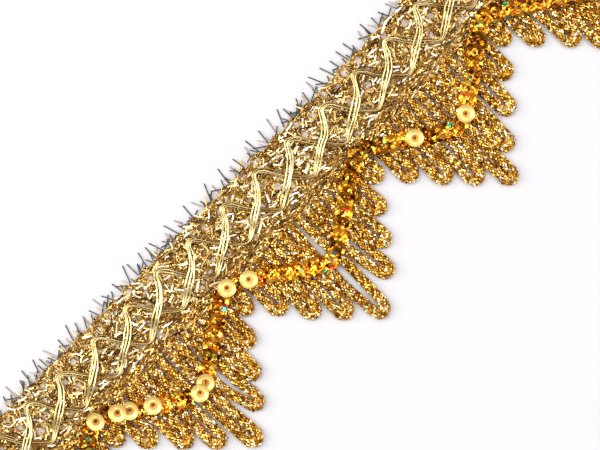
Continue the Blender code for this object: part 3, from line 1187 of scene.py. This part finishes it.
class TRIM_OT_ground(bpy.types.Operator):
    """Lay the sheer ground that the heading is knitted on, in colours of painted shade"""

    bl_idname = "trim.ground"
    bl_label = "Heading Ground"

    def execute(self, context):
        settings = context.scene.sequin_trim.heading
        dice = random.Random(SEED + 20)
        eyelets = heading_eyelets()
        width = GROUND_FOOT - GROUND_TOP
        crease = GROUND_CREASE * settings.mesh
        wave = GROUND_WAVE * settings.mesh
        columns = round(2 * HALF_LENGTH / settings.mesh)
        bm = bmesh.new()
        bmesh.ops.create_grid(bm, x_segments=columns, y_segments=round(width / settings.mesh), size=0.5)
        for vert in bm.verts:
            inside = abs(vert.co.x) < GROUND_INSIDE
            x = vert.co.x * 2 * (HALF_LENGTH - GROUND_THICKNESS) + dice.uniform(-crease, crease) * inside
            depth = GROUND_TOP + (0.5 - vert.co.y) * width + dice.uniform(-crease, crease)
            height = GROUND_Z + dice.uniform(-wave, wave)
            if eyelet_at(x, depth, eyelets):
                height += GROUND_RISE
            vert.co = lay(x, depth, height)
        piece = add_mesh("heading_ground", take_mesh("heading_ground", bm))
        body = piece.modifiers.new("Body", "SOLIDIFY")
        body.thickness = GROUND_THICKNESS
        body.offset = 0.0
        settle_mesh(piece)
        # Painted shade: the palest tone, a matte mauve grey like the shaded floor, in the see-through
        # places, and a dark to tan tone at random under the threads
        painted_shade_tones = []
        for vert in piece.data.vertices:
            depth = edge_at(vert.co.x) - vert.co.y
            see_through_shade = eyelet_at(vert.co.x, depth, eyelets, GROUND_THICKNESS)
            painted_shade_tones.append(1.0 if see_through_shade else GROUND_PAINTED_SHADE * dice.random())
        note(piece.data, "tone", painted_shade_tones)
        colours = (settings.dark, settings.tan, settings.ground, settings.ground)
        finish = tone_finish("ground_finish", colours, 0.5, 0.5, 700.0, pale_metallic=0.0)
        piece.data.materials.append(finish)
        dress(piece, "heading_yarn", "heading_band")
        return {"FINISHED"}


class TRIM_OT_chains(bpy.types.Operator):
    """Knit the chain yarn: rows along the heading and arches along its edge"""

    bl_idname = "trim.chains"
    bl_label = "Chain Yarn"

    def execute(self, context):
        settings = context.scene.sequin_trim.heading
        colours = (settings.dark, settings.tan, settings.gold, settings.gold, settings.light)
        values = {
            "Width": settings.yarn - settings.stitch_size[2],
            "Course": settings.course,
            "Count": settings.stitches,
            "Stitch": settings.stitch_size,
            "Lean": CHAIN_TILT,
            "Flatness": 1.0,
            "Lift": 0.0,
            "Core": 0.8,
            "Material": tone_finish("chain_yarn_finish", colours, 0.32, 0.97, 800.0),
        }
        tree = knitted_yarn_tree()
        dice = random.Random(SEED + 21)
        eyelets = heading_eyelets()
        arches = []
        for number in LOOPS:
            middle = number * LOOP_PITCH + dice.uniform(-LEG_SWAY, LEG_SWAY)
            arches.append(self.arch(middle, settings, dice))
        rows = [self.row(depth, eyelets, dice) for depth in ROW_DEPTHS]
        groups = (
            ("edge_arches", arches, "edge_yarn", "edge_row"),
            ("heading_rows", rows, "heading_yarn", "heading_band"),
        )
        for seed, (name, routes, slot, node) in enumerate(groups):
            values["Seed"] = SEED + 30 + 3 * seed
            dress(grow(route_base(name, routes), tree, values), slot, node)
        return {"FINISHED"}

    def arch(self, middle, settings, dice):
        """Half a turn of chain yarn at the top edge."""
        height = LEG_Z + dice.uniform(0.0, 0.3) * LEG_SWAY
        points = turn(middle, settings.yarn / 2 + LEG_REACH, LEG_REACH, range(180, 361, TURN_STEP))
        return [lay(x, depth, height) for x, depth in points]

    def row(self, depth, eyelets, dice):
        """One row of chain yarn along the whole heading."""
        points = []
        inset = ARCH_YARN / 2
        steps = round(2 * (HALF_LENGTH - inset) / ROW_STEP)
        for i in range(steps + 1):
            x = -HALF_LENGTH + inset + 2 * (HALF_LENGTH - inset) * i / steps
            x, level, _ = part_round(x, depth + dice.uniform(-ROW_SWAY, ROW_SWAY), eyelets)
            points.append(lay(x, level, ROW_Z + dice.uniform(-0.5, 0.5) * ROW_SWAY))
        return points


class TRIM_OT_threads(bpy.types.Operator):
    """Lay the film threads: pairs of legs down from the arches, the weave along and the filling across"""

    bl_idname = "trim.threads"
    bl_label = "Film Threads"

    def execute(self, context):
        settings = context.scene.sequin_trim.heading
        colours = (settings.dark, settings.tan, settings.gold, settings.light)
        thread_finish = tone_finish("film_thread_finish", colours, 0.28, 0.97, 800.0)
        ring_finish = tone_finish("ring_thread_finish", colours[:3], 0.28, 0.97, 800.0)
        values = {
            "Width": settings.thread,
            "Thickness": THREAD_FLATNESS * settings.thread,
            "Step": settings.thread_step,
            "Sway": THREAD_SWAY,
            "Twist": THREAD_TWIST,
        }
        tree = film_thread_tree()
        eyelets = heading_eyelets()
        dice = random.Random(SEED + 22)
        legs = []
        for number in LOOPS:
            for side in (-LEG_REACH, LEG_REACH):
                for pair in (-LEG_PAIR / 2, LEG_PAIR / 2):
                    legs.append(self.leg(number * LOOP_PITCH + side + pair, dice))
        weave = []
        for i in range(settings.weave):
            level = WEAVE_TOP + (CLIMB_FOOT - WEAVE_TOP) * (i / (settings.weave - 1)) ** WEAVE_CROWD
            weave.append(self.weft(level, eyelets, dice))
        filling = [self.strand(eyelets, dice) for _ in range(settings.filling)]
        rings = [self.ring(eyelet, dice) for eyelet in eyelets]
        groups = (("legs", legs), ("weave", weave), ("filling", filling), ("rings", rings))
        for seed, (name, routes) in enumerate(groups):
            values["Seed"] = SEED + 80 + 3 * seed
            values["Material"] = ring_finish if name == "rings" else thread_finish
            dress(grow(route_base("heading_" + name, routes), tree, values), "heading_yarn", "heading_band")
        return {"FINISHED"}

    def leg(self, x, dice):
        """One thread of a leg, from an arch down to the heading's foot."""
        depth = LEG_REACH
        points = []
        while depth < HEADING_FOOT:
            place = x + dice.uniform(-LEG_SWAY, LEG_SWAY)
            points.append(lay(place, depth, ROW_Z + dice.uniform(0.0, ROW_SWAY)))
            depth += LEG_STEP
        return points

    def weft(self, level, eyelets, dice):
        """One thread of the weave, along the whole heading."""
        steps = round(2 * HALF_LENGTH / WEAVE_STEP)
        height = dice.uniform(THREAD_LOW, THREAD_HIGH)
        points = []
        for i in range(steps + 1):
            x = (-1.0 + 2.0 * i / steps) * (HALF_LENGTH - SEAT)
            depth = max(level + dice.uniform(-WEAVE_SWAY, WEAVE_SWAY), WEAVE_TOP)
            x, depth, _ = part_round(x, min(depth, climb_limit(x)), eyelets)
            x = within(x, HALF_LENGTH - SEAT)
            up = min(max(height + dice.uniform(-1.0, 1.0) * WEAVE_SWAY, THREAD_LOW), THREAD_HIGH)
            points.append(lay(x, depth, over_cord(up, depth)))
        return points

    def strand(self, eyelets, dice):
        """One thread of the filling, slanting down some way across the heading."""
        start = dice.uniform(-HALF_LENGTH, HALF_LENGTH)
        depth = dice.uniform(WEAVE_TOP, FILLING_FOOT)
        slant = math.tan(dice.uniform(-FILLING_SLANT, FILLING_SLANT))
        height = dice.uniform(THREAD_LOW, THREAD_HIGH)
        points = []
        for i in range(dice.randint(*FILLING_STEPS)):
            x, level, _ = part_round(start + slant * i * WEAVE_STEP, depth + i * WEAVE_STEP, eyelets)
            x = within(x, HALF_LENGTH - SEAT)
            level = min(level, climb_limit(x))
            points.append(lay(x, level, over_cord(height + dice.uniform(-0.5, 0.5) * WEAVE_SWAY, level)))
        return points

    def ring(self, eyelet, dice):
        """One turn of thread round a see-through place, a little out of round."""
        middle, level, radius = eyelet
        start = dice.uniform(0.0, math.tau)
        stretch = dice.uniform(*RING_STRETCH)
        height = dice.uniform(*RING_HEIGHTS)
        points = []
        for i in range(RING_POINTS + 1):
            around = start + math.tau * i / RING_POINTS
            x = within(middle + stretch * radius * math.cos(around), HALF_LENGTH - SEAT)
            points.append(lay(x, level + radius / stretch * math.sin(around), height))
        return points


class TRIM_OT_tinsel(bpy.types.Operator):
    """Lay tinsel through the heading and set stiff tinsel ends along its edge"""

    bl_idname = "trim.tinsel"
    bl_label = "Tinsel"

    def execute(self, context):
        settings = context.scene.sequin_trim.tinsel
        colours = (settings.black, settings.brown, settings.gold, settings.gold, settings.silver)
        greys = (settings.grey, settings.grey, settings.rose, settings.gold)
        finish = tone_finish("tinsel_finish", colours, 0.25, 0.8, 400.0, pale_metallic=0.15)
        end_finish = tone_finish("tinsel_end_finish", greys, 0.35, 0.4, 400.0)
        tree = spread_tree()
        laid = self.laid_marks(settings)
        ends = self.end_marks(settings)
        groups = (
            ("heading_tinsel", laid, TINSEL_BEND, finish, "heading_yarn", "heading_band"),
            ("tinsel_ends", ends, 0.0, end_finish, "edge_yarn", "edge_row"),
        )
        for name, marks, bend, material, slot, node in groups:
            strip = add_mesh("tinsel_strip", self.strip_mesh(bend))
            values = {"Shape": strip, "Material": material}
            dress(grow(spread_base(name, marks), tree, values), slot, node)
            bpy.data.objects.remove(strip)
        return {"FINISHED"}

    def strip_mesh(self, bend):
        """A flat strip one unit long, wide and thick, bent sideways at its middle."""
        bm = bmesh.new()
        bmesh.ops.create_cube(bm, size=1.0)
        if bend:
            long_edges = [e for e in bm.edges if abs(e.verts[0].co.x - e.verts[1].co.x) > 0.5]
            bmesh.ops.subdivide_edges(bm, edges=long_edges, cuts=1)
        for vert in bm.verts:
            if abs(vert.co.x) < 0.25:
                vert.co.y += bend
        return take_mesh("tinsel_strip", bm)

    def laid_marks(self, settings):
        """Places of the strips in the heading, each kind in its own number and sizes."""
        dice = random.Random(SEED + 40)
        eyelets = heading_eyelets()
        marks = []
        for strips, short, long, width, tone, mean, spread, low, high in TINSEL_KINDS:
            for _ in range(strips):
                size = dice.uniform(short, long)
                way = dice.gauss(mean, spread)
                room = HALF_LENGTH - size / 2 * abs(math.cos(way)) - width
                x = dice.uniform(-room, room)
                depth = dice.uniform(WEAVE_TOP, climb_limit(x) if tone < DARK_STRIP_TONE else HEADING_FOOT)
                x, depth, rim = part_round(x, depth, eyelets, TINSEL_MARGIN)
                way = way if rim is None else rim
                height = over_cord(dice.uniform(low, high), depth)
                along = (math.cos(way), math.sin(way), dice.uniform(-TINSEL_SLOPE, TINSEL_SLOPE))
                tips = [dice.uniform(-TINSEL_TURN, TINSEL_TURN) for _ in range(2)]
                up = (*tips, dice.choice((-1.0, 1.0)))
                sizes = (size, width * dice.uniform(*TINSEL_WIDTHS), settings.thickness)
                shade = tone + dice.uniform(-TINSEL_MIX, TINSEL_MIX)
                marks.append((lay(within(x, room), depth, height), along, up, sizes, shade))
        return marks

    def end_marks(self, settings):
        """Places of the stiff ends: the long ones of the solids, and short ones between them."""
        dice = random.Random(SEED + 41)
        marks = []
        for root, tip, reach in tinsel_ends():
            marks.append(self.end_mark(root, LONG_END_ROOT, tip, reach, LONG_END_TONES, dice, settings))
        for _ in range(SHORT_ENDS):
            root = dice.uniform(-HALF_LENGTH + SHORT_END_INSET, HALF_LENGTH - SHORT_END_INSET)
            reach = dice.uniform(*SHORT_END_REACH)
            tip = root + dice.uniform(-SHORT_END_LEAN, SHORT_END_LEAN) * reach
            marks.append(self.end_mark(root, SHORT_END_ROOT, tip, reach, SHORT_END_TONES, dice, settings))
        for _ in range(LYING_ENDS):
            root = dice.uniform(-HALF_LENGTH + LYING_END_INSET, HALF_LENGTH - LYING_END_INSET)
            tip = root + dice.choice((-1.0, 1.0)) * dice.uniform(*LYING_END_RUN)
            reach = dice.uniform(*LYING_END_REACH)
            marks.append(self.end_mark(root, LYING_END_ROOT, tip, reach, LYING_END_TONES, dice, settings))
        return marks

    def end_mark(self, root, depth, tip, reach, tones, dice, settings):
        """One straight end from its root in the arches to its tip."""
        tone = dice.choice(tones)
        height = dice.uniform(*END_HEIGHTS)
        start = Vector(lay(root, depth, height))
        end = Vector(lay(tip, -reach, max(height - END_DROP, END_LOWEST)))
        size = ((end - start).length, END_WIDTH, settings.thickness)
        return (start.lerp(end, 0.5), (end - start).normalized(), (0.0, 0.0, 1.0), size, tone)


class TRIM_OT_floats(bpy.types.Operator):
    """Lay the two zig-zag floats of flat yarn over the heading"""

    bl_idname = "trim.floats"
    bl_label = "Floats"

    def execute(self, context):
        settings = context.scene.sequin_trim.floats
        values = {
            "Width": settings.width,
            "Thickness": settings.thickness,
            "Step": settings.step,
            "Sides": 10,
            "Material": float_finish(settings),
        }
        tree = strand_tree()
        dice = random.Random(SEED + 50)
        for name, node, offset in FLOATS:
            routes, tones = self.strands(offset * FLOAT_PERIOD, settings, dice)
            dress(grow(route_base(name, routes, tones), tree, values), "float_yarn", node)
        return {"FINISHED"}

    def middle(self, offset, settings, dice):
        """Middle line of a float: place, depth, height, painted light and shade, and spread at each of its
        points.
        """
        points = []
        end = REPEATS * REPEAT / 2
        for period in range(-1, 2 * REPEATS + 1):
            late = dice.uniform(-FLOAT_SWAY, FLOAT_SWAY)
            low = dice.uniform(-FLOAT_SWAY, FLOAT_SWAY)
            for share, climb, lifted, shade, spread in FLOAT_STITCH:
                x = -end + (period + share) * FLOAT_PERIOD + offset + late * climb
                if abs(x) <= end + SEAT:
                    depth = FLOAT_FOOT + climb * (FLOAT_TOP + low - FLOAT_FOOT)
                    height = FLOAT_BASE + settings.thickness / 2 + lifted * FLOAT_LIFT
                    points.append((x, depth, height, shade, spread))
        return points

    def strands(self, offset, settings, dice):
        """Routes of a float's strands, and the tone at each of their points: painted light and shade."""
        middle = self.middle(offset, settings, dice)
        routes = []
        tones = []
        for strand in range(settings.strands):
            side = strand - (settings.strands - 1) / 2
            own = dice.uniform(-FLOAT_MIX, FLOAT_MIX)
            route = []
            for i, (x, depth, height, shade, spread) in enumerate(middle):
                back = middle[max(i - 1, 0)]
                ahead = middle[min(i + 1, len(middle) - 1)]
                run = Vector((ahead[0] - back[0], ahead[1] - back[1])).normalized()
                away = (side * spread + dice.uniform(-FLOAT_WANDER, FLOAT_WANDER)) * settings.pitch
                route.append(lay(x - away * run.y, depth + away * run.x, height))
                tones.append(shade + own + dice.uniform(-FLOAT_MIX, FLOAT_MIX))
            routes.append(route)
        return routes, tones


class TRIM_OT_sequins(bpy.types.Operator):
    """Sew on the zig-zag row of cup sequins, each lapping over the next"""

    bl_idname = "trim.sequins"
    bl_label = "Sequins"

    def execute(self, context):
        settings = context.scene.sequin_trim.sequins
        shape = add_mesh("cup_sequin", self.cup_mesh(settings))
        values = {"Shape": shape, "Material": sequin_finish(settings)}
        base = spread_base("sequins", self.marks(settings))
        dress(grow(base, spread_tree(), values), "sequins", "sequin_row")
        bpy.data.objects.remove(shape)
        return {"FINISHED"}

    def cup_mesh(self, settings):
        """One cup sequin: a flat middle round the hole and a facetted wall up to the rim."""
        radius = settings.radius
        top = (
            (settings.hole, 0.0),
            (SEQUIN_SEAT[0] * radius, SEQUIN_SEAT[1] * radius),
            (SEQUIN_BEND * radius, 0.0),
            (SEQUIN_WALL[0] * radius, SEQUIN_WALL[1] * settings.cup),
            (radius, settings.cup),
        )
        profile = [(r, h + settings.film) for r, h in top] + [(r, h) for r, h in reversed(top)]
        bm = bmesh.new()
        rings = []
        for i in range(SEQUIN_SIDES):
            around = math.tau * i / SEQUIN_SIDES
            ring = [(r * math.cos(around), r * math.sin(around), h) for r, h in profile]
            rings.append([bm.verts.new(point) for point in ring])
        for near, far in zip(rings, rings[1:] + rings[:1]):
            for j in range(len(profile)):
                k = (j + 1) % len(profile)
                bm.faces.new((near[j], far[j], far[k], near[k]))
        bmesh.ops.recalc_face_normals(bm, faces=bm.faces)
        if bm.calc_volume(signed=True) < 0.0:
            bmesh.ops.reverse_faces(bm, faces=bm.faces)
        mesh = take_mesh("cup_sequin", bm)
        note(mesh, "ring", [math.hypot(vert.co.x, vert.co.y) / radius for vert in mesh.vertices])
        return mesh

    def marks(self, settings):
        """Place, direction, tilt, size and kind of each sequin."""
        dice = random.Random(SEED + 60)
        places = sequin_places()
        pale = set()
        for x in PALE_SEQUINS:
            pale.add(min(range(len(places)), key=lambda i: abs(places[i][0] - x)))
        marks = []
        for i, (x, depth, run, drop) in enumerate(places):
            lap = settings.lap * dice.uniform(*SEQUIN_LAPS) * (PALE_LAP if i in pale else 1.0)
            along = Vector((run, -drop, math.tan(lap)))
            across = Vector((drop, run, dice.uniform(-SEQUIN_TILT, SEQUIN_TILT)))
            height = SEQUIN_BASE + settings.radius * math.sin(lap) + (i in pale) * PALE_LIFT
            place = lay(x, depth + dice.uniform(-SEQUIN_WANDER, SEQUIN_WANDER), height)
            grown = 1.0 + dice.uniform(-SEQUIN_GROWTH, SEQUIN_GROWTH)
            shade = dice.choice(SEQUIN_TONES)
            tone = 1.0 if i in pale else shade
            marks.append((place, along, along.cross(across), (grown, grown, grown), tone))
        return marks


class TRIM_OT_stage(bpy.types.Operator):
    """Lay the floor, hang the lights and set the camera straight above the trim"""

    bl_idname = "trim.stage"
    bl_label = "Stage"

    def execute(self, context):
        scene = context.scene
        settings = scene.sequin_trim.stage
        self.floor(settings)
        self.camera(scene, settings)
        for light in LIGHTS:
            self.light(scene, *light)
        self.world(scene, settings)
        scene.view_settings.view_transform = "Standard"
        return {"FINISHED"}

    def floor(self, settings):
        """A wide pale floor just under the trim."""
        bm = bmesh.new()
        bmesh.ops.create_grid(bm, x_segments=1, y_segments=1, size=FLOOR_SIZE)
        for vert in bm.verts:
            vert.co.z = FLOOR_Z
        mesh = take_mesh("floor", bm)
        finish = FinishTree("floor_finish").surface(
            {
                "Base Color": (*settings.floor, 1.0),
                "Roughness": 0.9,
                "Specular IOR Level": 0.1,
                "Emission Color": (1.0, 1.0, 1.0, 1.0),
                "Emission Strength": settings.glow,
            }
        )
        mesh.materials.append(finish)
        add_mesh("floor", mesh)

    def camera(self, scene, settings):
        """Straight above the middle of the picture, turned so that the trim runs up to the right."""
        data = bpy.data.cameras.new("camera")
        data.lens = settings.lens
        data.sensor_width = SENSOR_WIDTH
        item = bpy.data.objects.new("camera", data)
        scene.collection.objects.link(item)
        x, y, z = CAMERA_AIM
        item.location = (x, y, z + settings.view_width * settings.lens / SENSOR_WIDTH)
        item.rotation_euler = (0.0, 0.0, CAMERA_TURN)
        scene.camera = item

    def light(self, scene, name, right, up, height, size, power):
        """A softbox that faces the trim, placed as the picture is turned."""
        data = bpy.data.lights.new(name, "AREA")
        data.shape = "RECTANGLE"
        data.size = size[0]
        data.size_y = size[1]
        data.energy = power
        item = bpy.data.objects.new(name, data)
        scene.collection.objects.link(item)
        cos = math.cos(CAMERA_TURN)
        sin = math.sin(CAMERA_TURN)
        item.location = (right * cos - up * sin, right * sin + up * cos, height)
        item.rotation_euler = Vector(item.location).to_track_quat("Z", "Y").to_euler()

    def world(self, scene, settings):
        """Even light from all round."""
        world = bpy.data.worlds.new("studio")
        world.use_nodes = True
        background = world.node_tree.nodes["Background"]
        background.inputs["Color"].default_value = (1.0, 1.0, 1.0, 1.0)
        background.inputs["Strength"].default_value = settings.sky
        scene.world = world


# Panel and registration

BUILDERS = (
    TRIM_OT_cord,
    TRIM_OT_ground,
    TRIM_OT_chains,
    TRIM_OT_threads,
    TRIM_OT_tinsel,
    TRIM_OT_floats,
    TRIM_OT_sequins,
    TRIM_OT_stage,
)


class VIEW3D_PT_sequin_trim(bpy.types.Panel):
    """Buttons that build the trim, piece by piece"""

    bl_label = "Sequin Trim"
    bl_space_type = "VIEW_3D"
    bl_region_type = "UI"
    bl_category = "Sequin Trim"

    def draw(self, context):
        for builder in BUILDERS:
            self.layout.operator(builder.bl_idname)


CLASSES = (
    CordSettings,
    HeadingSettings,
    TinselSettings,
    FloatSettings,
    SequinSettings,
    StageSettings,
    TrimSettings,
    *BUILDERS,
    VIEW3D_PT_sequin_trim,
)


def register():
    """Make the settings, operators and panel known to Blender."""
    for item in CLASSES:
        bpy.utils.register_class(item)
    bpy.types.Scene.sequin_trim = PointerProperty(type=TrimSettings)


def unregister():
    """Take them away again."""
    del bpy.types.Scene.sequin_trim
    for item in reversed(CLASSES):
        bpy.utils.unregister_class(item)


def main():
    """Build every piece and the stage."""
    register()
    for builder in BUILDERS:
        group, name = builder.bl_idname.split(".")
        getattr(getattr(bpy.ops, group), name)()


if __name__ == "__main__":
    main()
